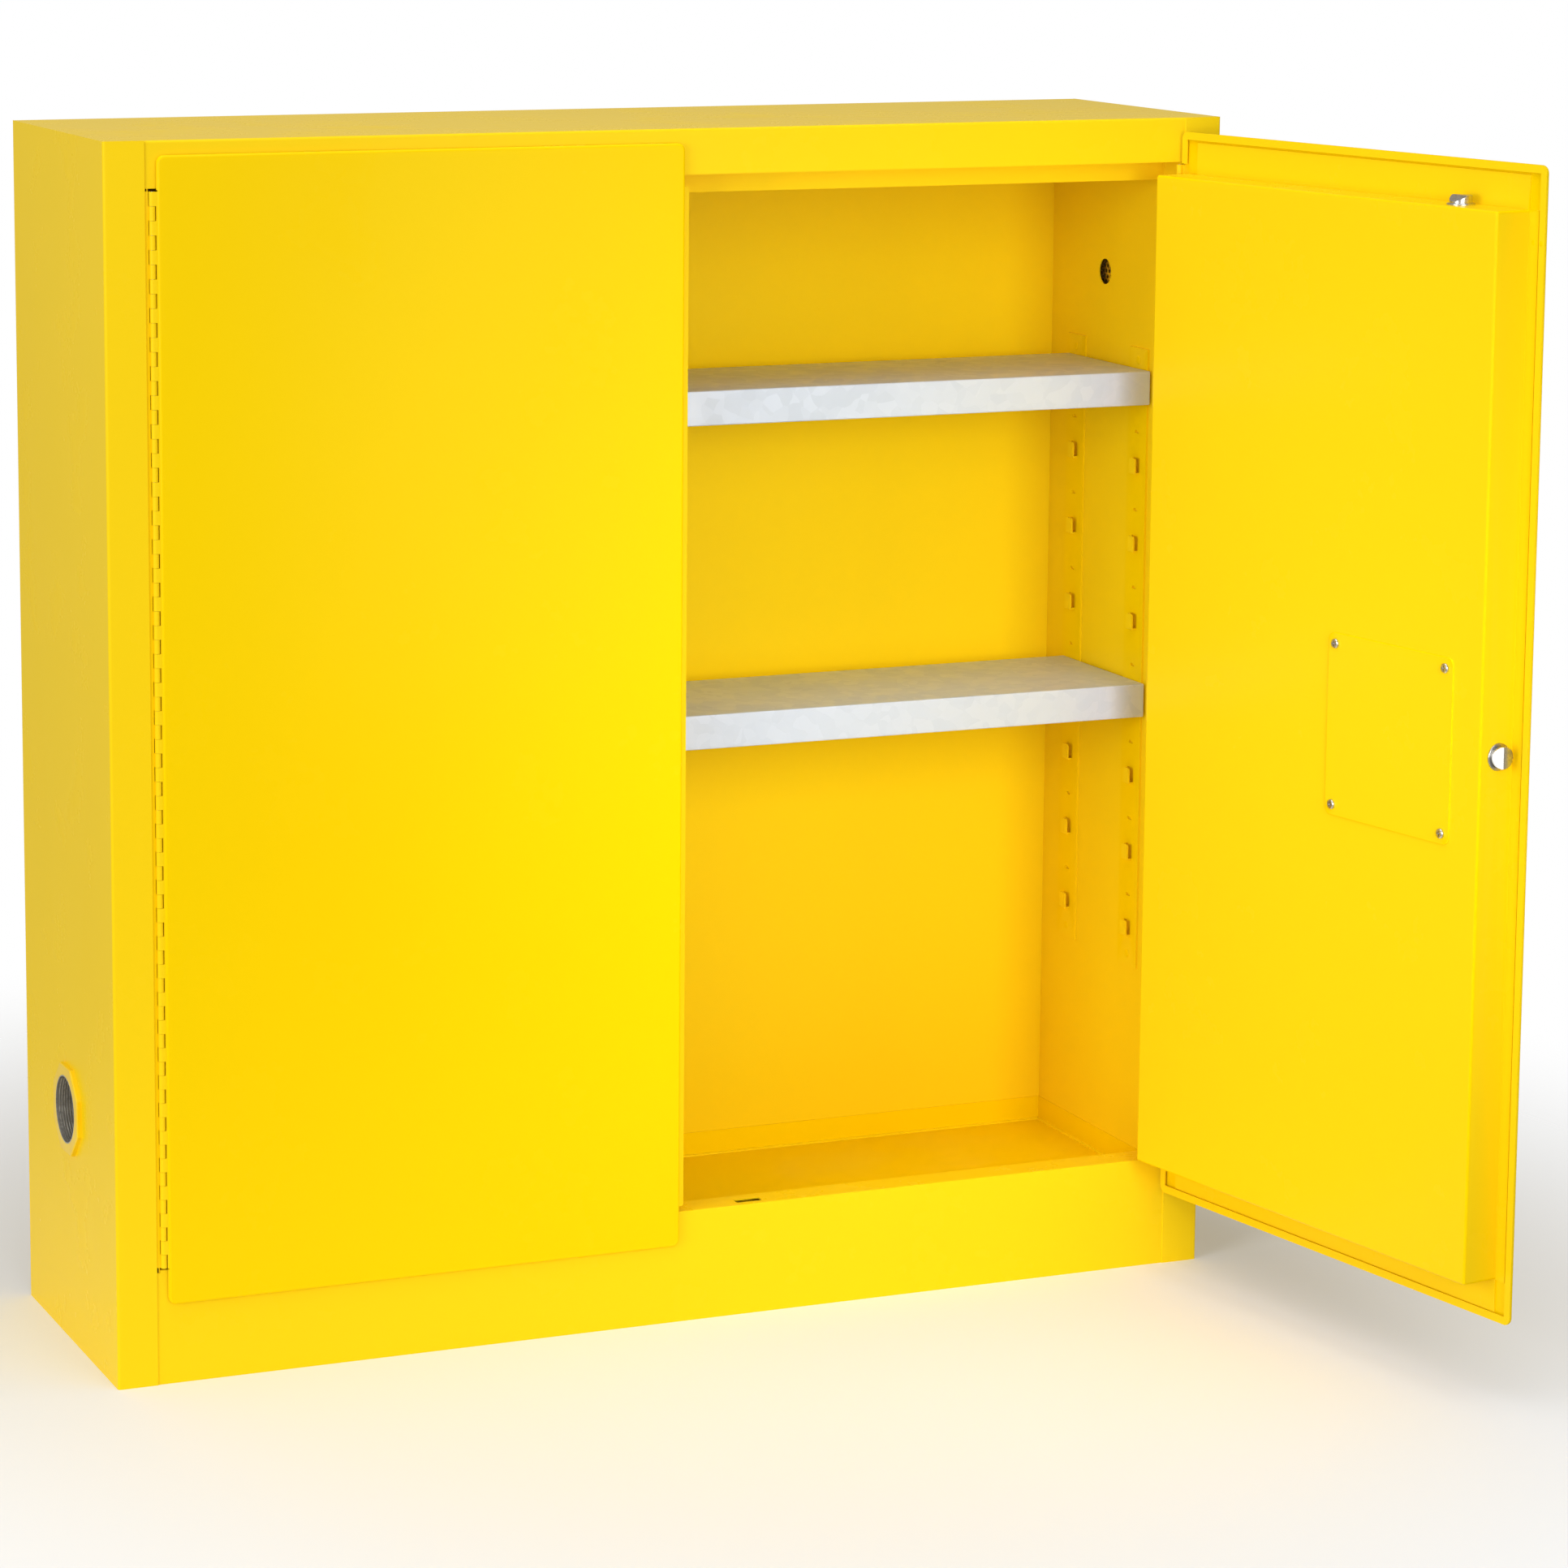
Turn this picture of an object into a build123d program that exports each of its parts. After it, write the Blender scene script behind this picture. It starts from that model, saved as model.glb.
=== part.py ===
from build123d import *
import os
from math import radians, sin, sqrt

# A double-walled, two-door steel safety cabinet. Millimetres.
# X runs across the cabinet and is 0 at its middle, Z runs up from the floor.
# While the pieces are made, Y is 0 on the front of the stiles and grows towards the back;
# write_part() then moves everything forward by half the depth, so the origin is the middle
# of the footprint. The right door is made shut and is swung open about its hinge at the end.

# ---- overall size and sheet -------------------------------------------------------------
WIDTH = 1092.0
DEPTH = 305.0
HEIGHT = 1118.0
SHEET = 1.2              # 18 gauge steel
AIR_GAP = 38.1           # between the outer and inner walls
BEND = 2.5               # outside radius of a sheet bend

# ---- front of the cabinet ---------------------------------------------------------------
STILE_WIDTH = 37.5       # front flange of each side panel
SILL_TOP = 106.4         # top of the base panel
SILL_DEPTH = 31.5        # front to back, over the base panel
SUMP_FLOOR = 78.0        # top of the sump pan's floor
SUMP_UPSTAND = 24.0      # height of the pan's side walls
STOP_DROP = 20.5         # the door stop hangs this far under the ceiling
STOP_GAP = 1.5           # door stop to the back of a shut door
EDGE_FLANGE = 15.0       # ordinary welding flange

# ---- piano hinges -----------------------------------------------------------------------
HINGE_TO_STILE = 6.0     # hinge axis to the stile's edge, across
BARREL_RADIUS = 2.8
PIN_RADIUS = 1.5
PIN_FIT = 0.05           # radial running clearance of the pin
KNUCKLE = 12.7
KNUCKLE_GAP = 0.2
HINGE_END_GAP = 2.0      # least gap from the hinge to sill or header
LEAF_CUT_BACK = 10.5     # the moving leaf is shorter than the barrel at each end
LEAF_REACH = 24.0        # hinge axis to the edge of a leaf
LEAF_GAP = 0.2           # leaf edge to the other leaf's knuckles

# ---- doors ------------------------------------------------------------------------------
SKIN_TO_HINGE = 3.7      # door skin's edge to the hinge axis
LEFT_SKIN_EDGE = 3.8     # left skin's free edge, short of the middle
RIGHT_SKIN_EDGE = -0.8   # right skin's free edge reaches past the middle
HEADER_LAP = 29.0
BASE_LAP = 31.8
SKIN_CLEAR = 0.3         # rim of the skin to the stile's face
HEM = 6.0
SKIN_CORNER = 7.0
DOOR_BACK = 35.0         # inner face of a shut door, behind the front plane
PAN_TOP_GAP = 10.3
PAN_BOTTOM_GAP = 5.6
PAN_TO_HINGE = 10.0
RIGHT_PAN_INSET = 21.8   # right skin's free edge to the pan's free wall
LEFT_PAN_EDGE = 1.5      # the left pan reaches this far past the middle
PAN_FLANGE_CLEAR = 0.5
PAN_FLANGE = 30.0        # top and bottom flanges of a pan, on the skin
FREE_FLANGE = 12.0       # the right pan's flange at its free side
SIDE_HOLE_RADIUS = 11.0  # hole in the left pan for the side bolt
GUIDE_WALL = 2.0         # wall of the bottom bolt's guide
OPEN_ANGLE = 100.0       # the right door stands open by this much

# ---- three-point latch ------------------------------------------------------------------
PIVOT_X = 82.0
BOLT_Z = 588.0           # height of the side bolt
ROD_OFFSET = 9.0         # the two upright rods stand this far each side of the pivot
CAM_ARM = 12.7           # pivot to each drive pin; a quarter turn moves a rod by 18
BOLT_RADIUS = 10.0
BOLT_FIT = 0.1
BOLT_TO_HEADER = 1.6     # bolt to the back of the header, when thrown
TOP_SLOT_CLEAR = 1.3     # soffit to the top bolt, front and back
TOP_THROW = 8.5          # how far each bolt stands out at rest
BOTTOM_THROW = 3.5
SIDE_THROW = 8.5
BOLT_LENGTH = 46.0
SIDE_BOLT_LENGTH = 31.0
SILL_SLOT = (26.0, 10.0) # slot under the bottom bolt
BOTTOM_BAR = (18.0, 6.0) # the bottom bolt is a flat bar
BUSH_WALL = 1.2
BUSH_LENGTH = 12.0
SIDE_BUSH_LENGTH = 8.0
BUSH_LIP = 1.6
BUSH_LIP_REACH = 1.2
CAM_THICK = 3.0
CAM_RADIUS = 20.0
DRIVE_PIN_RADIUS = 3.0
PIN_SLOT_CLEAR = 1.0
ROD_LAP = 14.0           # rod and bolt overlap by this much
ROD_WIDTH = 14.0
ROD_THICK = 3.0
ROD_CLEAR = 1.0          # rod to cam plate
ROD_RIM = 4.0            # metal round a rod's slot
SHAFT_RADIUS = 4.0
SHAFT_GRIP = 5.0         # length of the shaft inside the hub
DISH_RADIUS = 34.5
DISH_DEPTH = 11.4
DISH_WALL = 1.5
DISH_RING = 44.0
LEVER_LENGTH = 60.0
LEVER_WIDTH = 14.0
LEVER_PROUD = 9.0        # front of the T bar, ahead of the skin
HUB_RADIUS = 13.0
HUB_PROUD = 2.0          # front of the hub, ahead of the bar
LOCK_RADIUS = 6.0
LOCK_DEPTH = 14.0
COVER_SIZE = 168.0
COVER_X = 141.5
COVER_DROP = 0.5         # middle of the cover, under the side bolt
COVER_THICK = 1.5
COVER_HOLE = 140.0
SCREW_INSET = 10.0
SCREW_RADIUS = 2.4
SCREW_HEAD = 4.5

# ---- vents ------------------------------------------------------------------------------
VENT_BORE = 30.5
VENT_TUBE = 33.0
VENT_FLAT = 81.0         # octagon flange, across its flats
VENT_FLANGE = 4.5
SCREEN_THICK = 1.0
SCREEN_GROOVE = (1.5, 0.4)  # groove that holds the screen, long and deep
LEFT_VENT_Z = 221.0
RIGHT_VENT_DROP = 159.0  # middle of the right vent, under the top
INNER_HOLE_RADIUS = 12.5
HOLE_CLEAR = 0.1

# ---- shelves and their standards --------------------------------------------------------
STANDARD_WIDTH = 38.0
STANDARD_THICK = 2.0
RIVET_INSET = 12.0       # rivet to the end of its standard
RIVET_RADIUS = 2.2
STANDARD_BOTTOM = 282.0
HOOK_PITCH = 76.2
STANDARD_TOP_GAP = 180.0 # least gap from a standard to the ceiling
HOOK_START = 31.8        # first hook above the standard's foot
STANDARD_HEAD = 44.8     # last hook to the standard's top
HOOK_WIDTH = 12.0
HOOK_HEIGHT = 14.0
HOOK_GAP = 3.5           # between the standard and the hook's upright
FRONT_STANDARD = 76.0    # middle of the front standards, behind the front plane
REAR_STANDARD = 207.0
SHELF_FRONT = 50.0
SHELF_DEPTH = 172.0
SHELF_LIP = 32.5
SHELF_REAR_LIP = 25.0
SHELF_HEM = 10.0
SHELF_END_FLANGE = 24.8
SHELF_SIDE_GAP = 1.0

# ---- worked out from the above ----------------------------------------------------------
HALF = WIDTH / 2
OPENING_HALF = HALF - STILE_WIDTH
LINER_HALF = HALF - SHEET - AIR_GAP - SHEET
LINER_BACK = DEPTH - SHEET - AIR_GAP - SHEET
CEILING = HEIGHT - SHEET - AIR_GAP - SHEET
OPENING_TOP = CEILING - SHEET
FACE = SHEET             # header and base panel lie one sheet behind the stiles
HINGE_X = OPENING_HALF - HINGE_TO_STILE
LEAF_BACK = 2 * SHEET    # back face of the fixed leaf, behind the stile
HINGE_Y = LEAF_BACK - BARREL_RADIUS
SKIN_INNER = HINGE_Y - BARREL_RADIUS
SKIN_OUTER = SKIN_INNER - SHEET
KNUCKLES = 2 * int((OPENING_TOP - SILL_TOP - 2 * HINGE_END_GAP) / KNUCKLE / 2)
HINGE_LENGTH = KNUCKLES * KNUCKLE
HINGE_BOTTOM = (OPENING_TOP + SILL_TOP - HINGE_LENGTH) / 2
SKIN_TOP = OPENING_TOP + HEADER_LAP
SKIN_BOTTOM = SILL_TOP - BASE_LAP
SKIN_HINGE_EDGE = HINGE_X - SKIN_TO_HINGE
PAN_TOP = OPENING_TOP - PAN_TOP_GAP
PAN_BOTTOM = SILL_TOP + PAN_BOTTOM_GAP
PAN_HINGE_X = HINGE_X - PAN_TO_HINGE
PAN_FREE_X = RIGHT_SKIN_EDGE + RIGHT_PAN_INSET
FLANGE_BACK = SKIN_INNER + SHEET
BUSH_RADIUS = BOLT_RADIUS + BOLT_FIT + BUSH_WALL
BUSH_FLANGE = BUSH_RADIUS + BUSH_LIP_REACH
BOLT_DEPTH = FACE + SHEET + BOLT_TO_HEADER + BOLT_RADIUS
TOP_SLOT = (2.6 * BOLT_RADIUS, 2 * (BOLT_RADIUS + TOP_SLOT_CLEAR))
CAM_BACK = BOLT_DEPTH + BOTTOM_BAR[1] / 2 - ROD_CLEAR
PIVOT_Z = BOLT_Z - ROD_OFFSET
COVER_CENTRE = (COVER_X, BOLT_Z - COVER_DROP)
TOP_BOLT_X = PIVOT_X + ROD_OFFSET
BOTTOM_BOLT_X = PIVOT_X - ROD_OFFSET
ROD_FRONT = CAM_BACK + ROD_CLEAR
ROD_BACK = ROD_FRONT + ROD_THICK
SIDE_ROD_BACK = CAM_BACK - CAM_THICK - ROD_CLEAR
SIDE_ROD_FRONT = SIDE_ROD_BACK - ROD_THICK
PIN_SWING = CAM_ARM - ROD_OFFSET
YOKE = DRIVE_PIN_RADIUS + PIN_SLOT_CLEAR
LEVER_FRONT = SKIN_OUTER - LEVER_PROUD
STANDARD_FACE = LINER_HALF - STANDARD_THICK
SHELF_HALF = STANDARD_FACE - SHELF_SIDE_GAP
VENT_Y = DEPTH / 2
RIGHT_VENT_Z = HEIGHT - RIGHT_VENT_DROP
HOOK_ROOM = CEILING - STANDARD_TOP_GAP - STANDARD_HEAD - STANDARD_BOTTOM - HOOK_START
HOOK_COUNT = int(HOOK_ROOM / HOOK_PITCH) + 1
UPPER_HOOK = HOOK_COUNT - 1
LOWER_HOOK = UPPER_HOOK // 2


def block(x0, x1, y0, y1, z0, z1):
    """A box between two corners."""
    size = Box(abs(x1 - x0), abs(y1 - y0), abs(z1 - z0))
    return Pos((x0 + x1) / 2, (y0 + y1) / 2, (z0 + z1) / 2) * size


def rod_x(radius, x0, x1, y, z):
    """A round bar along X."""
    return Pos((x0 + x1) / 2, y, z) * Rot(0, 90, 0) * Cylinder(radius, abs(x1 - x0))


def rod_y(radius, x, y0, y1, z):
    """A round bar along Y."""
    return Pos(x, (y0 + y1) / 2, z) * Rot(90, 0, 0) * Cylinder(radius, abs(y1 - y0))


def rod_z(radius, x, y, z0, z1):
    """A round bar along Z."""
    return Pos(x, y, (z0 + z1) / 2) * Cylinder(radius, abs(z1 - z0))


def lines(shape, axis, *spots):
    """The edges along an axis that pass through the given places in the other two coordinates."""
    found = []
    for edge in shape.edges().filter_by(axis):
        middle = edge.center()
        across = [middle.X, middle.Y, middle.Z]
        across.pop([Axis.X, Axis.Y, Axis.Z].index(axis))
        for spot in spots:
            if abs(across[0] - spot[0]) < 0.02 and abs(across[1] - spot[1]) < 0.02:
                found.append(edge)
    return found


def mirrored(shape):
    """The same piece for the other side of the cabinet."""
    return mirror(shape, about=Plane.YZ)


# ---- outer shell ------------------------------------------------------------------------
def outer_side():
    """Right side panel behind its front bend, with a rear flange."""
    back = DEPTH - SHEET
    panel = block(HALF - SHEET, HALF, BEND, back, 0, HEIGHT)
    panel += block(HALF - EDGE_FLANGE, HALF, back - SHEET, back, 0, HEIGHT - 2 * EDGE_FLANGE)
    return fillet(lines(panel, Axis.Z, (HALF, back)), BEND)


def stile():
    """Front edge of the right side panel, bent round to face forwards."""
    strip = block(HALF - SHEET, HALF, 0, BEND, 0, HEIGHT)
    strip += block(OPENING_HALF, HALF, 0, SHEET, 0, HEIGHT)
    strip = fillet(lines(strip, Axis.Z, (HALF, 0)), BEND - SHEET / 100)
    strip = fillet(lines(strip, Axis.Z, (HALF - SHEET, SHEET)), BEND - SHEET - SHEET / 100)
    return fillet(lines(strip, Axis.Z, (OPENING_HALF, 0)), SHEET / 2)


def vent_cut(side, z, inner_radius):
    """The holes that a vent needs through both walls of one side."""
    cut = rod_x(VENT_TUBE + HOLE_CLEAR, side * (HALF - 2 * SHEET), side * (HALF + SHEET), VENT_Y, z)
    liner = side * (LINER_HALF - SHEET), side * (LINER_HALF + 2 * SHEET)
    return cut + rod_x(inner_radius, *liner, VENT_Y, z)


def top_panel():
    """Top sheet, bent down at the front into the header and at the back into a flange."""
    half, back = HALF - SHEET, DEPTH - SHEET
    panel = block(-half, half, FACE, back, HEIGHT - SHEET, HEIGHT)
    panel += block(-half, half, FACE, FACE + SHEET, OPENING_TOP, HEIGHT)
    panel += block(-half, half, back - SHEET, back, HEIGHT - EDGE_FLANGE, HEIGHT)
    for side in (-1, 1):
        panel -= block(side * (HALF - BEND), side * HALF, 0, BEND, OPENING_TOP - 1, HEIGHT + 1)
    panel = fillet(lines(panel, Axis.X, (FACE, HEIGHT), (back, HEIGHT)), BEND)
    inside = ((FACE + SHEET, HEIGHT - SHEET), (back - SHEET, HEIGHT - SHEET))
    return fillet(lines(panel, Axis.X, *inside), BEND - SHEET)


def outer_back():
    """Back sheet, laid over the rear flanges."""
    back = DEPTH - SHEET
    return block(BEND - HALF, HALF - BEND, back, DEPTH, 0, HEIGHT - BEND)


def outer_bottom():
    """Bottom sheet, which the cabinet rests on."""
    return block(SHEET - HALF, HALF - SHEET, FACE + SHEET, DEPTH - 2 * SHEET, 0, SHEET)


def soffit():
    """Flat strip over the doors, with the hole that the top bolt enters."""
    stop = DOOR_BACK + STOP_GAP
    strip = block(-LINER_HALF, LINER_HALF, FACE + SHEET, stop, OPENING_TOP, CEILING)
    width, depth = TOP_SLOT
    y0, y1 = BOLT_DEPTH - depth / 2, BOLT_DEPTH + depth / 2
    x0, x1 = TOP_BOLT_X - width / 2, TOP_BOLT_X + width / 2
    hole = block(x0, x1, y0, y1, OPENING_TOP - SHEET, CEILING + SHEET)
    return strip - fillet(hole.edges().filter_by(Axis.Z), width / 4)


def front_base_panel():
    """Front panel under the opening, as high as the sill."""
    half = HALF - BEND
    panel = block(-half, half, FACE, FACE + SHEET, 0, SILL_TOP - BEND)
    panel += block(-LINER_HALF, LINER_HALF, FACE, FACE + SHEET, 0, SILL_TOP)
    return fillet(lines(panel, Axis.X, (FACE, SILL_TOP)), SHEET * 0.9)


def sill():
    """Top of the base panel, slotted for the bottom bolt."""
    low, high = SILL_TOP - SHEET, SILL_TOP
    strip = block(-LINER_HALF, LINER_HALF, FACE + SHEET, SILL_DEPTH, low, high)
    width, depth = SILL_SLOT
    y0, y1 = BOLT_DEPTH - depth / 2, BOLT_DEPTH + depth / 2
    x0, x1 = BOTTOM_BOLT_X - width / 2, BOTTOM_BOLT_X + width / 2
    slot = block(x0, x1, y0, y1, low - SHEET, high + SHEET)
    return strip - fillet(slot.edges().filter_by(Axis.Z), SHEET)


# ---- inner liner ------------------------------------------------------------------------
def inner_side():
    """Right inner wall; its front edge is welded behind the hinge leaf."""
    foot = SUMP_FLOOR - SHEET
    return block(LINER_HALF, LINER_HALF + SHEET, LEAF_BACK, LINER_BACK + SHEET, foot, CEILING)


def inner_back_wall():
    """Back of the liner."""
    foot = SUMP_FLOOR - SHEET
    return block(-LINER_HALF, LINER_HALF, LINER_BACK, LINER_BACK + SHEET, foot, CEILING)


def inner_ceiling():
    """Ceiling of the liner, from behind the bolt slot to the back."""
    front = BOLT_DEPTH + TOP_SLOT[1] / 2 + BEND
    half = LINER_HALF + SHEET
    return block(-half, half, front, LINER_BACK + SHEET, CEILING, CEILING + SHEET)


def sump_pan():
    """Leak-tight floor tray with an upstand on all four sides."""
    low, floor = SUMP_FLOOR - SHEET, SUMP_FLOOR
    front, rim = SILL_DEPTH - SHEET, SUMP_FLOOR + SUMP_UPSTAND
    pan = block(-LINER_HALF, LINER_HALF, front, LINER_BACK, low, floor)
    pan += block(-LINER_HALF, LINER_HALF, front, SILL_DEPTH, low, SILL_TOP - SHEET)
    pan += block(-LINER_HALF, LINER_HALF, LINER_BACK - SHEET, LINER_BACK, low, rim)
    for side in (-1, 1):
        wall = block(side * (LINER_HALF - SHEET), side * LINER_HALF, front, LINER_BACK, low, rim)
        pan += wall
    return pan


def door_stop():
    """Angle under the ceiling that the shut doors close up to."""
    front = DOOR_BACK + STOP_GAP
    stop = block(-LINER_HALF, LINER_HALF, front, front + SHEET, CEILING - STOP_DROP, CEILING)
    back = front + SHEET + EDGE_FLANGE
    stop += block(-LINER_HALF, LINER_HALF, front, back, CEILING - SHEET, CEILING)
    return fillet(lines(stop, Axis.X, (front, CEILING - STOP_DROP)), SHEET / 2)


# ---- spacers in the air gap -------------------------------------------------------------
def spacer(length, gap):
    """A Z bar, its web standing across the gap along X, its length along Z."""
    web = Box(gap, SHEET, length)
    reach = EDGE_FLANGE / 2
    inner = Pos(SHEET / 2 - gap / 2, reach, 0) * Box(SHEET, EDGE_FLANGE + SHEET, length)
    outer = Pos(gap / 2 - SHEET / 2, -reach, 0) * Box(SHEET, EDGE_FLANGE + SHEET, length)
    return web + inner + outer


def side_spacers():
    """Two upright Z bars in the air gap of each side."""
    low, high = SUMP_FLOOR, CEILING
    bars = []
    for y in (DEPTH * 0.25, DEPTH * 0.75):
        bar = Pos(LINER_HALF + SHEET + AIR_GAP / 2, y, (low + high) / 2)
        bars += [bar * spacer(high - low, AIR_GAP)]
    return Part() + bars + [mirrored(bar) for bar in bars]


def back_spacers():
    """Two upright Z bars behind the liner's back."""
    low, high = SUMP_FLOOR, CEILING
    gap = AIR_GAP - SHEET
    bar = Pos(WIDTH / 4, LINER_BACK + SHEET + gap / 2, (low + high) / 2)
    bar = bar * Rot(0, 0, 90) * spacer(high - low, gap)
    return Part() + [bar, mirrored(bar)]


def ceiling_spacers():
    """Two Z bars over the liner's ceiling."""
    front, back = SILL_DEPTH, LINER_BACK
    bar = Pos(WIDTH / 4, (front + back) / 2, CEILING + SHEET + AIR_GAP / 2)
    bar = bar * Rot(90, 0, 0) * Rot(0, 0, 90) * spacer(back - front, AIR_GAP)
    return Part() + [bar, mirrored(bar)]


def floor_bearers():
    """Three Z bars that carry the sump pan over the bottom sheet."""
    front, back = SILL_DEPTH, LINER_BACK
    gap = SUMP_FLOOR - 2 * SHEET
    bars = []
    for x in (-WIDTH / 4, 0, WIDTH / 4):
        bar = Pos(x, (front + back) / 2, SHEET + gap / 2)
        bars += [bar * Rot(90, 0, 0) * Rot(0, 0, 90) * spacer(back - front, gap)]
    return Part() + bars


# ---- vents ------------------------------------------------------------------------------
def vent_port(inner_end):
    """Threaded vent fitting along +X: an octagon flange and a tube with a stepped inner end."""
    outer = HALF + VENT_FLANGE
    octagon = RegularPolygon(VENT_FLAT / 2, 8, major_radius=False, rotation=22.5)
    flange = Pos(HALF, VENT_Y, 0) * Rot(0, 90, 0) * extrude(octagon, VENT_FLANGE)
    flange = fillet(flange.faces().sort_by(Axis.X)[-1].edges(), 1.2)
    port = flange + rod_x(VENT_TUBE, inner_end, HALF, VENT_Y, 0)
    step = inner_end + 3 * SHEET
    port -= rod_x(VENT_BORE, step, outer + 1, VENT_Y, 0)
    port -= rod_x(VENT_BORE - 2, inner_end - 1, step + 1, VENT_Y, 0)
    long, deep = SCREEN_GROOVE
    port -= rod_x(VENT_BORE + deep, step, step + long, VENT_Y, 0)
    groove_depth, groove_width, pitch = 0.9, 1.1, 2.4
    for turn in range(7):
        x0 = outer - 2.2 - turn * pitch
        port -= rod_x(VENT_BORE + groove_depth, x0 - groove_width, x0, VENT_Y, 0)
    return port


def flame_screen(inner_end):
    """Perforated disc, snapped into the groove behind the step of the vent's tube."""
    hole, pitch = 1.9, 6.0
    thick, radius = SCREEN_THICK, VENT_BORE + SCREEN_GROOVE[1] - HOLE_CLEAR
    step = inner_end + 3 * SHEET
    disc = rod_x(radius, step, step + thick, VENT_Y, 0)
    holes = []
    rows = int(radius / pitch / sin(radians(60))) + 1
    for row in range(-rows, rows + 1):
        z = row * pitch * sin(radians(60))
        for column in range(-rows, rows + 1):
            y = (column + (row % 2) / 2) * pitch
            if sqrt(y * y + z * z) < radius - 3:
                holes.append(rod_x(hole, step - 1, step + thick + 1, VENT_Y + y, z))
    return disc - holes


def vent_cap():
    """Screw-in plug with a finger rib, for a vent that isn't piped."""
    outer = HALF + VENT_FLANGE
    plug_depth, rim, rim_thick = 18.0, 37.0, 4.0
    cap = rod_x(VENT_BORE - HOLE_CLEAR, outer - plug_depth, outer, VENT_Y, 0)
    cap += rod_x(rim, outer, outer + rim_thick, VENT_Y, 0)
    cap = fillet(cap.faces().sort_by(Axis.X)[-1].edges(), 1.5)
    rib = block(outer + rim_thick, outer + rim_thick + 7, VENT_Y - 24, VENT_Y + 24, -4, 4)
    rib = fillet(rib.edges().filter_by(Axis.X), 3)
    return cap + rib


# ---- shelf standards --------------------------------------------------------------------
def hook_heights():
    """The seat of each hook, from the lowest up."""
    first = STANDARD_BOTTOM + HOOK_START
    return [first + HOOK_PITCH * step for step in range(HOOK_COUNT)]


def standard(y):
    """Right-hand shelf standard with lanced hooks and a small slot between each pair."""
    heights = hook_heights()
    top = heights[-1] + STANDARD_HEAD
    half = STANDARD_WIDTH / 2
    strip = block(STANDARD_FACE, LINER_HALF, y - half, y + half, STANDARD_BOTTOM, top)
    strip = fillet(strip.edges().filter_by(Axis.X), STANDARD_THICK / 2)
    thick = STANDARD_THICK * 0.75
    near, far = STANDARD_FACE - 1, LINER_HALF + 1
    outer = STANDARD_FACE - HOOK_GAP
    y0, y1 = y - HOOK_WIDTH / 2, y + HOOK_WIDTH / 2
    windows = []
    hooks = []
    for z in heights:
        windows += [block(near, far, y0, y1, z, z + HOOK_HEIGHT)]
        seat = block(outer - thick, LINER_HALF, y0, y1, z - thick, z)
        upright = block(outer - thick, outer, y0, y1, z - thick, z + HOOK_HEIGHT)
        hook = seat + upright
        hook = fillet(lines(hook, Axis.Y, (outer - thick, z - thick)), thick * 0.9)
        hooks += [fillet(lines(hook, Axis.X, (y0, z + HOOK_HEIGHT), (y1, z + HOOK_HEIGHT)), 2.5)]
    slot_half, slot_height = HOOK_WIDTH / 3, HOOK_HEIGHT / 5
    for z in heights[:-1]:
        middle = z + HOOK_PITCH / 2
        windows += [block(near, far, y - slot_half, y + slot_half, middle, middle + slot_height)]
    return strip - windows + hooks


def rivet_spots():
    """Where the right-hand rivets stand, as y and z."""
    top = hook_heights()[-1] + STANDARD_HEAD
    heights = STANDARD_BOTTOM + RIVET_INSET, top - RIVET_INSET
    return [(y, z) for y in (FRONT_STANDARD, REAR_STANDARD) for z in heights]


def standard_rivets():
    """Rivets that fix the four standards, two each, with their heads on the standards' faces."""
    head, head_height = 4.0, 0.8
    rivets = []
    for spot in rivet_spots():
        rivet = rod_x(head, STANDARD_FACE - head_height, STANDARD_FACE, *spot)
        rivet = fillet(rivet.faces().sort_by(Axis.X)[0].edges(), head_height * 0.8)
        rivets += [rivet + rod_x(RIVET_RADIUS, STANDARD_FACE - head_height, LINER_HALF + SHEET, *spot)]
    return Part() + rivets + [mirrored(rivet) for rivet in rivets]


def rivet_holes():
    """Holes for those rivets, to cut from the right-hand standards and inner wall."""
    far = LINER_HALF + 2 * SHEET
    return [rod_x(RIVET_RADIUS, STANDARD_FACE - 1, far, *spot) for spot in rivet_spots()]


# ---- shelves ----------------------------------------------------------------------------
def shelf(seat):
    """Galvanised shelf whose end flanges stand in the hooks at one height."""
    top = seat + SHELF_END_FLANGE
    back = SHELF_FRONT + SHELF_DEPTH
    tray = block(-SHELF_HALF, SHELF_HALF, SHELF_FRONT, back, top - SHEET, top)
    tray += block(-SHELF_HALF, SHELF_HALF, SHELF_FRONT, SHELF_FRONT + SHEET, top - SHELF_LIP, top)
    tray += block(-SHELF_HALF, SHELF_HALF, back - SHEET, back, top - SHELF_REAR_LIP, top)
    hem = SHELF_HEM
    low = top - SHELF_LIP
    tray += block(-SHELF_HALF, SHELF_HALF, SHELF_FRONT, SHELF_FRONT + hem, low, low + SHEET)
    spots = ((SHELF_FRONT, top), (back, top), (SHELF_FRONT, low))
    tray = fillet(lines(tray, Axis.X, *spots), SHEET)
    notch = hem + 1
    for side in (-1, 1):
        ends = side * (SHELF_HALF - SHEET), side * SHELF_HALF
        tray += block(*ends, SHELF_FRONT + notch, back - notch, seat, top - SHEET / 2)
    return tray


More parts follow.
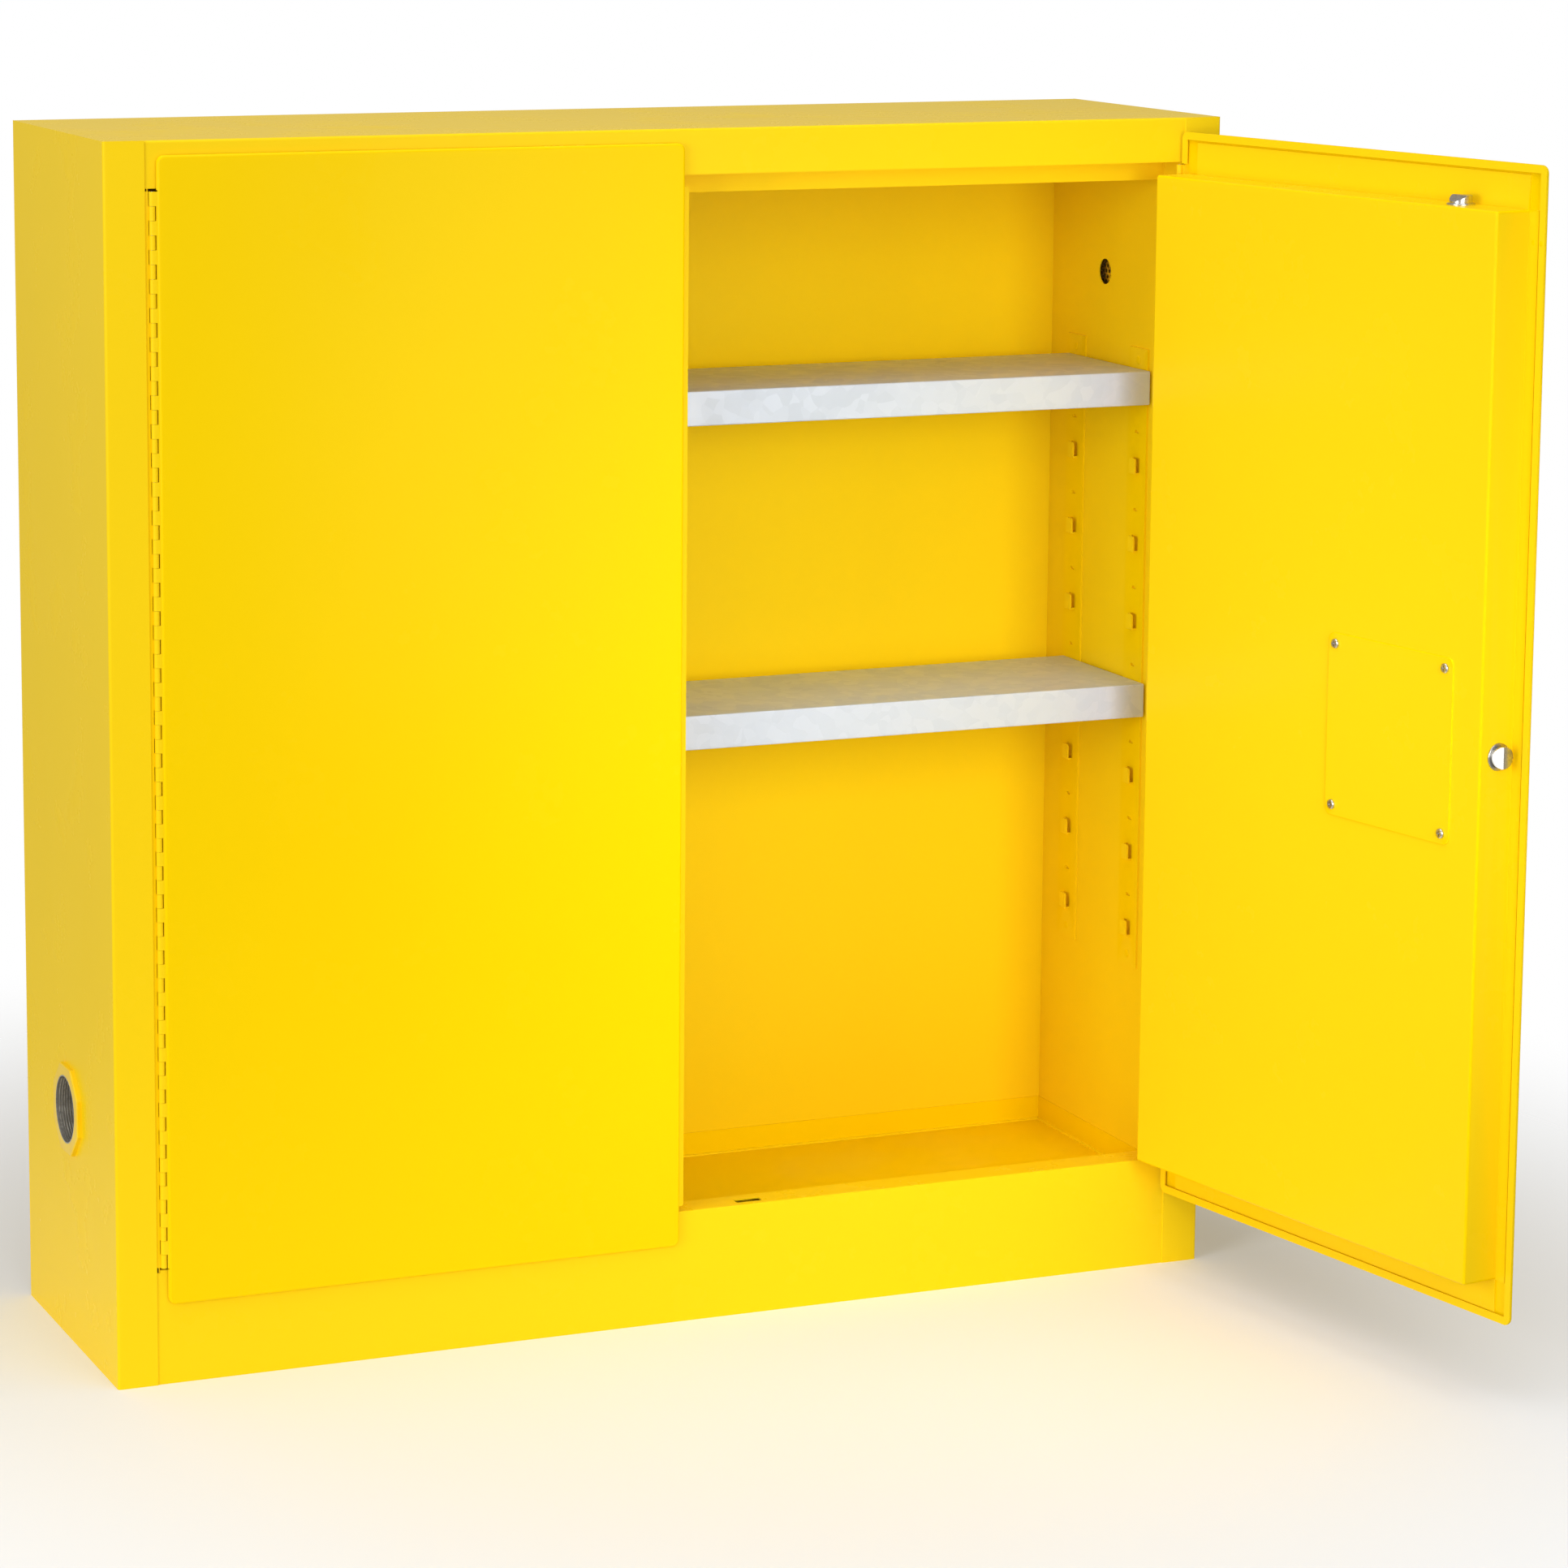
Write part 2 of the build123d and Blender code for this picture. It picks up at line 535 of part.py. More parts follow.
# ---- hinges -----------------------------------------------------------------------------
def hinge_leaf(moving):
    """One leaf of the right-hand piano hinge, with every second knuckle."""
    low, high = HINGE_BOTTOM, HINGE_BOTTOM + HINGE_LENGTH
    clear = BARREL_RADIUS + LEAF_GAP
    if moving:
        ends = low + LEAF_CUT_BACK, high - LEAF_CUT_BACK
        leaf = block(HINGE_X - LEAF_REACH, HINGE_X - clear, SKIN_INNER, FLANGE_BACK, *ends)
        leaf += block(PAN_HINGE_X + BEND, HINGE_X - clear, SKIN_INNER, FLANGE_BACK, low, high)
    else:
        leaf = block(HINGE_X + clear, HINGE_X + LEAF_REACH, SHEET, LEAF_BACK, low, high)
    knuckles = []
    for index in range(1 if moving else 0, KNUCKLES, 2):
        z0 = low + index * KNUCKLE + KNUCKLE_GAP / 2
        z1 = z0 + KNUCKLE - KNUCKLE_GAP
        knuckle = rod_z(BARREL_RADIUS, HINGE_X, HINGE_Y, z0, z1)
        if moving:
            knuckle += block(HINGE_X - clear, HINGE_X, SKIN_INNER, FLANGE_BACK, z0, z1)
        else:
            knuckle += block(HINGE_X, HINGE_X + clear, SHEET, LEAF_BACK, z0, z1)
        knuckles.append(knuckle)
    leaf += knuckles
    return leaf - rod_z(PIN_RADIUS + PIN_FIT, HINGE_X, HINGE_Y, low - 1, high + 1)


def hinge_pin():
    """Full-length pin of the right-hand hinge, held by the fixed leaf."""
    low, high = HINGE_BOTTOM, HINGE_BOTTOM + HINGE_LENGTH
    return rod_z(PIN_RADIUS, HINGE_X, HINGE_Y, low, high)


# ---- doors ------------------------------------------------------------------------------
def door_skin(free_edge):
    """A right-hand outer sheet, its rim rolled back and hemmed, cut away along the hinge."""
    x0, x1 = free_edge, SKIN_HINGE_EDGE
    rim_back = -SKIN_CLEAR

    def rounded(inset, front, back, roll):
        size = x1 - x0 - 2 * inset, SKIN_TOP - SKIN_BOTTOM - 2 * inset
        outline = RectangleRounded(*size, max(SKIN_CORNER - inset, 0.5))
        slab = extrude(outline, back - front)
        slab = Pos((x0 + x1) / 2, back, (SKIN_TOP + SKIN_BOTTOM) / 2) * Rot(90, 0, 0) * slab
        if roll:
            slab = fillet(slab.faces().sort_by(Axis.Y)[0].edges(), roll)
        return slab

    skin = rounded(0, SKIN_OUTER, rim_back, BEND)
    skin -= rounded(SHEET, SKIN_INNER, rim_back - SHEET, BEND - SHEET)
    skin -= rounded(SHEET + HEM, SKIN_INNER + SHEET, rim_back + SHEET, 0)
    low = min(HINGE_BOTTOM, PAN_BOTTOM) - SHEET
    high = max(HINGE_BOTTOM + HINGE_LENGTH, PAN_TOP) + SHEET
    return skin - block(x1 - SHEET - HEM - SHEET, x1 + 1, SKIN_INNER, SHEET, low, high)


def pan_box(x0, x1, front):
    """Outside of a door's inner pan: a block with its back edges and corners rolled."""
    box = block(x0, x1, front, DOOR_BACK, PAN_BOTTOM, PAN_TOP)
    box = fillet(box.edges().filter_by(Axis.Y), BEND)
    return fillet(box.faces().sort_by(Axis.Y)[-1].edges(), BEND)


def pan_cavity(x0, x1, front):
    """The hollow inside that pan, one sheet smaller."""
    low, high = PAN_BOTTOM + SHEET, PAN_TOP - SHEET
    box = block(x0, x1, front, DOOR_BACK - SHEET, low, high)
    box = fillet(box.edges().filter_by(Axis.Y), BEND - SHEET)
    return fillet(box.faces().sort_by(Axis.Y)[-1].edges(), BEND - SHEET)


def pan_rails(x0):
    """Top and bottom flanges of a pan, which lie on the skin, short of its hem."""
    x1 = HINGE_X - LEAF_REACH - PAN_FLANGE_CLEAR
    rail = PAN_FLANGE
    rails = block(x0, x1, SKIN_INNER, FLANGE_BACK, PAN_TOP - BEND, PAN_TOP + rail)
    return rails + block(x0, x1, SKIN_INNER, FLANGE_BACK, PAN_BOTTOM - rail, PAN_BOTTOM + BEND)


def hinge_side(pan, x1):
    """Trims a pan's hinge wall to the back of the leaf and turns a flange in behind it."""
    pan -= block(x1 - BEND, x1 + 1, SKIN_INNER - 1, FLANGE_BACK, PAN_BOTTOM - 1, PAN_TOP + 1)
    edge = HINGE_X - LEAF_REACH
    pan -= block(edge - SHEET / 2, x1 + 1, SKIN_INNER - 1, FLANGE_BACK, PAN_BOTTOM - 1, PAN_TOP + 1)
    low, high = PAN_BOTTOM + SHEET, PAN_TOP - SHEET
    return pan + block(edge, x1 - SHEET, FLANGE_BACK, FLANGE_BACK + SHEET, low, high)


def right_door_pan():
    """Right door's inner pan, with the bolt holes and the latch access hole."""
    x0, x1 = PAN_FREE_X, PAN_HINGE_X
    pan = pan_box(x0, x1, SKIN_INNER)
    pan += pan_rails(x0)
    edge = x0 - FREE_FLANGE
    pan += block(edge, x0 + BEND, SKIN_INNER, FLANGE_BACK, PAN_BOTTOM, PAN_TOP)
    pan -= pan_cavity(x0 + SHEET, x1 - SHEET, SKIN_INNER)
    pan = hinge_side(pan, x1)
    x, z = COVER_CENTRE
    half = COVER_HOLE / 2
    pan -= block(x - half, x + half, 0, DOOR_BACK + 1, z - half, z + half)
    hole = BUSH_RADIUS + HOLE_CLEAR
    pan -= rod_z(hole, TOP_BOLT_X, BOLT_DEPTH, PAN_TOP - BEND, PAN_TOP + 1)
    width, thick = BOTTOM_BAR
    wide, deep = width / 2 + GUIDE_WALL, thick / 2 + GUIDE_WALL
    x, y = BOTTOM_BOLT_X, BOLT_DEPTH
    pan -= block(x - wide, x + wide, y - deep, y + deep, PAN_BOTTOM - 1, PAN_BOTTOM + BEND)
    pan -= rod_x(hole, x0 - 1, x0 + BEND, BOLT_DEPTH, BOLT_Z)
    holes = [rod_y(SCREW_RADIUS + HOLE_CLEAR, *spot) for spot in screw_spots()]
    return pan - holes


def left_door_pan():
    """Left door's inner pan, made right-handed; it reaches past its skin at the middle."""
    x0, x1 = -LEFT_PAN_EDGE, PAN_HINGE_X
    step = PAN_FLANGE_CLEAR - SKIN_CLEAR
    web = LEFT_SKIN_EDGE + SHEET + HEM + BEND
    body = pan_box(x0, x1, SKIN_INNER)
    body -= block(x0 - 1, web, SKIN_INNER - 1, step, PAN_BOTTOM - 1, PAN_TOP + 1)
    body += pan_rails(web)
    deep = pan_cavity(x0 + SHEET, x1 - SHEET, SKIN_INNER)
    deep -= block(x0 - 1, web + SHEET, SKIN_INNER - 1, step + SHEET, PAN_BOTTOM - 1, PAN_TOP + 1)
    pan = body - deep
    low, high = PAN_BOTTOM + SHEET, PAN_TOP - SHEET
    pan += block(web + SHEET, web + EDGE_FLANGE, SKIN_INNER, FLANGE_BACK, low, high)
    pan = hinge_side(pan, x1)
    return pan - rod_x(SIDE_HOLE_RADIUS, x0 - 1, x0 + BEND, BOLT_DEPTH, BOLT_Z)


# ---- latch: cover, bushes, bolts, rods, cam and handle -----------------------------------
def screw_spots():
    """Where the cover's screws stand, as x, front y, back y and z."""
    x, z = COVER_CENTRE
    reach = COVER_SIZE / 2 - SCREW_INSET
    back = DOOR_BACK + COVER_THICK
    return [(x + i * reach, DOOR_BACK - 8, back, z + k * reach) for i in (-1, 1) for k in (-1, 1)]


def latch_cover():
    """Plate over the latch access hole, on the inside of the right door."""
    x, z = COVER_CENTRE
    plate = extrude(RectangleRounded(COVER_SIZE, COVER_SIZE, 8), COVER_THICK)
    plate = Pos(x, DOOR_BACK + COVER_THICK, z) * Rot(90, 0, 0) * plate
    plate = fillet(plate.faces().sort_by(Axis.Y)[-1].edges(), COVER_THICK / 2)
    return plate - [rod_y(SCREW_RADIUS + HOLE_CLEAR, *spot) for spot in screw_spots()]


def cover_screws():
    """Four cross-recessed pan-head screws."""
    screws = []
    head_height, recess, recess_width = 2.4, 1.3, 1.1
    for x, front, back, z in screw_spots():
        head = rod_y(SCREW_HEAD, x, back, back + head_height, z)
        head = fillet(head.faces().sort_by(Axis.Y)[-1].edges(), 1.4)
        top = back + head_height + 1
        floor = back + head_height - recess
        arm, half = SCREW_HEAD * 0.55, recess_width / 2
        head -= block(x - arm, x + arm, floor, top, z - half, z + half)
        head -= block(x - half, x + half, floor, top, z - arm, z + arm)
        screws += [head + rod_y(SCREW_RADIUS, x, front, back, z)]
    return Part() + screws


def bolt_bushes():
    """Flanged bushes that guide the three bolts through the pan's walls."""
    def bush(length):
        body = Pos(0, 0, -length / 2) * Cylinder(BUSH_RADIUS, length)
        body += Pos(0, 0, BUSH_LIP / 2) * Cylinder(BUSH_FLANGE, BUSH_LIP)
        body = fillet(body.faces().sort_by(Axis.Z)[-1].edges(), BUSH_LIP * 0.6)
        return body - Cylinder(BOLT_RADIUS + BOLT_FIT, 4 * length)

    top = Pos(TOP_BOLT_X, BOLT_DEPTH, PAN_TOP) * bush(BUSH_LENGTH)
    side = Pos(PAN_FREE_X, BOLT_DEPTH, BOLT_Z) * Rot(0, -90, 0) * bush(SIDE_BUSH_LENGTH)
    width, thick = BOTTOM_BAR
    x, y = BOTTOM_BOLT_X, BOLT_DEPTH
    wide, deep = width / 2 + GUIDE_WALL - HOLE_CLEAR, thick / 2 + GUIDE_WALL - HOLE_CLEAR
    guide = block(x - wide, x + wide, y - deep, y + deep, PAN_BOTTOM, PAN_BOTTOM + BUSH_LENGTH)
    lip = 2 * GUIDE_WALL
    flange = Box(width + 2 * lip, thick + lip, BUSH_LIP)
    guide += Pos(x, y, PAN_BOTTOM - BUSH_LIP / 2) * fillet(flange.edges().filter_by(Axis.Z), GUIDE_WALL)
    hole_x, hole_y = width / 2 + BOLT_FIT, thick / 2 + BOLT_FIT
    bottom, high = PAN_BOTTOM - GUIDE_WALL, PAN_BOTTOM + 2 * BUSH_LENGTH
    guide -= block(x - hole_x, x + hole_x, y - hole_y, y + hole_y, bottom, high)
    return Part() + [top, side, guide]


def bolt(length):
    """A round latch bolt along +Z, its tip at 0, bevelled on the side that faces in (+Y)."""
    body = Pos(0, 0, -length / 2) * Cylinder(BOLT_RADIUS, length)
    body = fillet(body.faces().sort_by(Axis.Z)[-1].edges(), 0.6)
    rise, land = 5.5, 1.3
    run = BOLT_RADIUS - land
    wedge = Polyline((land, 0.01), (land + 2 * run, 0.01), (land + 2 * run, -2 * rise), close=True)
    wedge = extrude(Plane.YZ * make_face(wedge), BOLT_RADIUS + 1, both=True)
    return body - wedge


def top_bolt():
    """Top latch bolt, with a flat on its tail for the rod."""
    tip = PAN_TOP + TOP_THROW
    body = Pos(TOP_BOLT_X, BOLT_DEPTH, tip) * bolt(BOLT_LENGTH)
    tail = tip - BOLT_LENGTH
    x, wide, far = TOP_BOLT_X, 2 * BOLT_RADIUS, BOLT_DEPTH + 2 * BOLT_RADIUS
    return body - block(x - wide, x + wide, ROD_FRONT, far, tail - 1, tail + ROD_LAP)


def bottom_bolt():
    """Bottom latch bolt, a flat bar with a rounded nose."""
    width, thick = BOTTOM_BAR
    x, tip = BOTTOM_BOLT_X, PAN_BOTTOM - BOTTOM_THROW
    y0, y1 = BOLT_DEPTH - thick / 2, BOLT_DEPTH + thick / 2
    bar = block(x - width / 2, x + width / 2, y0, y1, tip, tip + 2 * BOLT_LENGTH)
    return chamfer(bar.faces().sort_by(Axis.Z)[0].edges(), 1.2)


def side_bolt():
    """Side latch bolt, slotted at its tail for the flat rod."""
    tip = PAN_FREE_X - SIDE_THROW
    body = Pos(tip, BOLT_DEPTH, BOLT_Z) * Rot(0, -90, 0) * bolt(SIDE_BOLT_LENGTH)
    tail = tip + SIDE_BOLT_LENGTH
    low, high = BOLT_Z - 2 * BOLT_RADIUS, BOLT_Z + 2 * BOLT_RADIUS
    return body - block(tail - ROD_LAP, tail + 1, SIDE_ROD_FRONT, SIDE_ROD_BACK, low, high)


def upright_rod(side):
    """Flat rod from the cam to the top bolt (side 1) or the bottom bolt (side -1)."""
    x, pin_z = PIVOT_X + side * ROD_OFFSET, PIVOT_Z - side * ROD_OFFSET
    half, rim = ROD_WIDTH / 2, ROD_RIM
    front, back = ROD_FRONT, ROD_BACK
    if side > 0:
        far = PAN_TOP + TOP_THROW - BOLT_LENGTH + ROD_LAP
    else:
        far = PAN_BOTTOM + BUSH_LENGTH + 2 * ROD_OFFSET + ROD_CLEAR
    near = pin_z - side * (YOKE + rim)
    rod = block(x - half, x + half, front, back, near, far)
    eye_end = x + side * (PIN_SWING + YOKE + rim)
    rod += block(x, eye_end, front, back, pin_z - YOKE - rim, pin_z + YOKE + rim)
    inner, outer = x - side * YOKE, x + side * (PIN_SWING + YOKE)
    return rod - block(inner, outer, front - 1, back + 1, pin_z - YOKE, pin_z + YOKE)


def side_rod():
    """Flat rod from the side bolt to a fork over the cam's front pin."""
    pin_x, rim = PIVOT_X + ROD_OFFSET, ROD_RIM
    low, high = PIVOT_Z + SHAFT_RADIUS + 1.5, BOLT_Z + PIN_SWING + YOKE
    front, back = SIDE_ROD_FRONT, SIDE_ROD_BACK
    tail = PAN_FREE_X - SIDE_THROW + SIDE_BOLT_LENGTH - ROD_LAP
    rod = block(tail, pin_x, front, back, low, 2 * BOLT_Z - low)
    rod += block(pin_x - YOKE - rim, pin_x + YOKE + rim, front, back, low, high + rim)
    return rod - block(pin_x - YOKE, pin_x + YOKE, front - 1, back + 1, low - 1, high)


def rod_guides():
    """Moulded guides on the pan's inner face that the upright rods run through."""
    guides = []
    wall, length, clear = 6.0, 22.0, 0.4
    inner = ROD_WIDTH / 2 + clear
    outer = inner + wall
    upper, lower = PAN_TOP - PIVOT_Z, PIVOT_Z - PAN_BOTTOM
    spots = [(TOP_BOLT_X, PIVOT_Z + upper * part) for part in (0.37, 0.78)]
    spots += [(BOTTOM_BOLT_X, PIVOT_Z - lower * part) for part in (0.36, 0.79)]
    for x, z in spots:
        guide = block(x - outer, x + outer, ROD_FRONT - wall / 2, DOOR_BACK - SHEET, z, z + length)
        guide = fillet(guide.edges().filter_by(Axis.Z), wall / 4)
        front, back = ROD_FRONT - clear, ROD_BACK + clear
        guides += [guide - block(x - inner, x + inner, front, back, z - 1, z + length + 1)]
    return Part() + guides


def latch_cam():
    """Cam plate with three drive pins, fixed to the handle's shaft."""
    front, arm = CAM_BACK - CAM_THICK, ROD_OFFSET
    cam = rod_y(CAM_RADIUS, PIVOT_X, front, CAM_BACK, PIVOT_Z)
    for side in (-1, 1):
        x, z = PIVOT_X + side * arm, PIVOT_Z - side * arm
        cam += rod_y(DRIVE_PIN_RADIUS, x, front, ROD_BACK + 1.5, z)
    cam += rod_y(DRIVE_PIN_RADIUS, PIVOT_X + arm, SIDE_ROD_FRONT - 1, CAM_BACK, PIVOT_Z + arm)
    return cam - rod_y(SHAFT_RADIUS, PIVOT_X, front - 1, CAM_BACK + 1, PIVOT_Z)


def dish_floor():
    """Where the dish's floor lies, front and back."""
    back = SKIN_OUTER + DISH_DEPTH
    return back - DISH_WALL, back


def handle_dish():
    """Round recess in the skin that the handle turns in."""
    floor, back = dish_floor()
    dish = rod_y(DISH_RADIUS + DISH_WALL, PIVOT_X, SKIN_OUTER, back, PIVOT_Z)
    dish += rod_y(DISH_RING, PIVOT_X, SKIN_OUTER - DISH_WALL, SKIN_OUTER, PIVOT_Z)
    dish = fillet(dish.faces().sort_by(Axis.Y)[0].edges(), 0.9)
    dish -= rod_y(DISH_RADIUS, PIVOT_X, SKIN_OUTER - DISH_WALL - 1, floor, PIVOT_Z)
    dish += rod_y(SHAFT_RADIUS + 3, PIVOT_X, floor, back + DISH_WALL, PIVOT_Z)
    return dish - rod_y(SHAFT_RADIUS + PIN_FIT, PIVOT_X, floor - 1, back + 2 * DISH_WALL, PIVOT_Z)


def handle_lever():
    """Cast T-handle with a round hub that holds the lock."""
    floor = dish_floor()[0]
    half, width = LEVER_LENGTH / 2, LEVER_WIDTH / 2
    bar = block(-half, half, LEVER_FRONT, floor - 4.5, -width, width)
    bar = fillet(bar.edges().filter_by(Axis.Y), width - 0.5)
    lever = fillet(bar.faces().sort_by(Axis.Y)[0].edges(), 3.0)
    hub_front = LEVER_FRONT - HUB_PROUD
    hub = rod_y(HUB_RADIUS, 0, hub_front, floor - 0.5, 0)
    lever += fillet(hub.faces().sort_by(Axis.Y)[0].edges(), 1.2)
    lever -= rod_y(LOCK_RADIUS + PIN_FIT, 0, hub_front - 1, hub_front + LOCK_DEPTH, 0)
    lever -= rod_y(SHAFT_RADIUS, 0, floor - SHAFT_GRIP, floor, 0)
    return Pos(PIVOT_X, 0, PIVOT_Z) * lever


def handle_shaft():
    """Shaft from the handle's hub through the dish to the cam."""
    floor = dish_floor()[0]
    return rod_y(SHAFT_RADIUS, PIVOT_X, floor - SHAFT_GRIP, CAM_BACK, PIVOT_Z)


def lock_core():
    """Key cylinder in the hub of the handle."""
    front = LEVER_FRONT - HUB_PROUD
    core = rod_y(LOCK_RADIUS, PIVOT_X, front - 0.8, front + LOCK_DEPTH - 0.1, PIVOT_Z)
    core = fillet(core.faces().sort_by(Axis.Y)[0].edges(), 0.6)
    slot = block(PIVOT_X - 0.8, PIVOT_X + 0.8, front - 2, front + 8, PIVOT_Z - 3.6, PIVOT_Z + 3.6)
    return core - slot


def swung(shape):
    """A piece of the right door, turned with it about the hinge to where the door stands."""
    axis = Axis((HINGE_X, HINGE_Y, 0), (0, 0, 1))
    return shape.rotate(axis, OPEN_ANGLE)


def build():
    """Every piece, by name."""
    parts = {}
    side = outer_side()
    parts["outer_right_side"] = side - vent_cut(1, RIGHT_VENT_Z, INNER_HOLE_RADIUS)
    parts["outer_left_side"] = mirrored(side) - vent_cut(-1, LEFT_VENT_Z, INNER_HOLE_RADIUS)
    parts["right_stile"] = stile()
    parts["left_stile"] = mirrored(stile())
    parts["top_panel"] = top_panel()
    parts["outer_back"] = outer_back()
    parts["outer_bottom"] = outer_bottom()
    parts["soffit"] = soffit()
    parts["front_base_panel"] = front_base_panel()
    parts["sill"] = sill()

    wall = inner_side() - rivet_holes()
    parts["inner_right_wall"] = wall - vent_cut(1, RIGHT_VENT_Z, INNER_HOLE_RADIUS)
    parts["inner_left_wall"] = mirrored(wall) - vent_cut(-1, LEFT_VENT_Z, INNER_HOLE_RADIUS)
    parts["inner_back_wall"] = inner_back_wall()
    parts["inner_ceiling"] = inner_ceiling()
    parts["sump_pan"] = sump_pan()
    parts["door_stop"] = door_stop()
    parts["side_spacers"] = side_spacers()
    parts["back_spacers"] = back_spacers()
    parts["ceiling_spacers"] = ceiling_spacers()
    parts["floor_bearers"] = floor_bearers()

    for name, y in (("front", FRONT_STANDARD), ("rear", REAR_STANDARD)):
        strip = standard(y) - rivet_holes()
        parts[f"right_{name}_standard"] = strip
        parts[f"left_{name}_standard"] = mirrored(strip)
    parts["standard_rivets"] = standard_rivets()

    inner_end = LINER_HALF + SHEET
    port, screen = vent_port(inner_end), flame_screen(inner_end)
    parts["left_vent_port"] = mirrored(Pos(0, 0, LEFT_VENT_Z) * port)
    parts["left_flame_screen"] = mirrored(Pos(0, 0, LEFT_VENT_Z) * screen)
    parts["right_vent_port"] = Pos(0, 0, RIGHT_VENT_Z) * port
    parts["right_flame_screen"] = Pos(0, 0, RIGHT_VENT_Z) * screen
    parts["right_vent_cap"] = Pos(0, 0, RIGHT_VENT_Z) * vent_cap()

    heights = hook_heights()
    parts["upper_shelf"] = shelf(heights[UPPER_HOOK])
    parts["lower_shelf"] = shelf(heights[LOWER_HOOK])

    fixed, moving, pin = hinge_leaf(False), hinge_leaf(True), hinge_pin()
    parts["right_fixed_leaf"] = fixed
    parts["left_fixed_leaf"] = mirrored(fixed)
    parts["right_hinge_pin"] = pin
    parts["left_hinge_pin"] = mirrored(pin)
    parts["left_moving_leaf"] = mirrored(moving)
    parts["left_door_skin"] = mirrored(door_skin(LEFT_SKIN_EDGE))
    parts["left_door_pan"] = mirrored(left_door_pan())

    dish_hole = rod_y(DISH_RADIUS + DISH_WALL, PIVOT_X, SKIN_OUTER - 1, SKIN_INNER + 0.1, PIVOT_Z)
    parts["right_moving_leaf"] = swung(moving)
    parts["right_door_skin"] = swung(door_skin(RIGHT_SKIN_EDGE) - dish_hole)
    parts["right_door_pan"] = swung(right_door_pan())
    parts["latch_cover"] = swung(latch_cover())
    parts["cover_screws"] = swung(cover_screws())
    parts["bolt_bushes"] = swung(bolt_bushes())
    parts["rod_guides"] = swung(rod_guides())
    parts["handle_dish"] = swung(handle_dish())
    parts["handle_lever"] = swung(handle_lever())
    parts["handle_shaft"] = swung(handle_shaft())
    parts["latch_cam"] = swung(latch_cam())
    parts["lock_core"] = swung(lock_core())
    parts["top_bolt"] = swung(top_bolt())
    parts["top_rod"] = swung(upright_rod(1))
    parts["bottom_bolt"] = swung(bottom_bolt())
    parts["bottom_rod"] = swung(upright_rod(-1))
    parts["side_bolt"] = swung(side_bolt())
    parts["side_rod"] = swung(side_rod())
    return parts


def write_part(name, shape):
    """Saves one piece, with the middle of the cabinet's footprint as its origin."""
    export_step(Pos(0, -DEPTH / 2, 0) * shape, f"parts/{name}.step")


os.makedirs("parts", exist_ok=True)
for node, piece in build().items():
    write_part(node, piece)
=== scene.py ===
import math
import bmesh
import bpy
from mathutils import Matrix, Vector


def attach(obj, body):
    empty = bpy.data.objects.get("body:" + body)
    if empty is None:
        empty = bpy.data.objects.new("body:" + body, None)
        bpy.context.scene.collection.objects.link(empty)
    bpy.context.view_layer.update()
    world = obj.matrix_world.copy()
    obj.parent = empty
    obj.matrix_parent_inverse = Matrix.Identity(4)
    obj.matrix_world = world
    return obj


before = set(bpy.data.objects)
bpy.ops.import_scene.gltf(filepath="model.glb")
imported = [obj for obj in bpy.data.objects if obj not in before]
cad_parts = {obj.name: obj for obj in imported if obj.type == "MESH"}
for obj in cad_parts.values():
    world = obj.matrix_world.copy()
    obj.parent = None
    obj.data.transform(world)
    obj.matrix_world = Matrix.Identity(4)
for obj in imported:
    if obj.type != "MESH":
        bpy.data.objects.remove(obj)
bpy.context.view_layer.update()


# ---- Outer shell ------------------------------------------------------------------------
# Side panels, top with its header, back, bottom, base panel, sill and soffit. They are 18
# gauge steel sheet, bent on a press brake, spot welded together and powder coated a bright
# safety yellow. The coat is glossy, with a faint orange peel.
class Wire:
    """One output of a node, so that sums on it add Math nodes."""

    def __init__(self, paint, socket):
        self.paint, self.socket = paint, socket

    def maths(self, operation, *values):
        inputs = dict(enumerate(values))
        return self.paint.node("ShaderNodeMath", {"operation": operation}, inputs)

    def __add__(self, other):
        return self.maths("ADD", self, other)

    def __sub__(self, other):
        return self.maths("SUBTRACT", self, other)

    def __rsub__(self, other):
        return self.maths("SUBTRACT", other, self)

    def __mul__(self, other):
        return self.maths("MULTIPLY", self, other)

    def __pow__(self, other):
        return self.maths("POWER", self, other)

    __radd__ = __add__
    __rmul__ = __mul__

    def ramp(self, low, high):
        """0 below low, 1 above high, and smooth between."""
        kind = {"interpolation_type": "SMOOTHSTEP"}
        spread = {0: self, 1: low, 2: high, 3: 0.0, 4: 1.0}
        return self.paint.node("ShaderNodeMapRange", kind, spread)


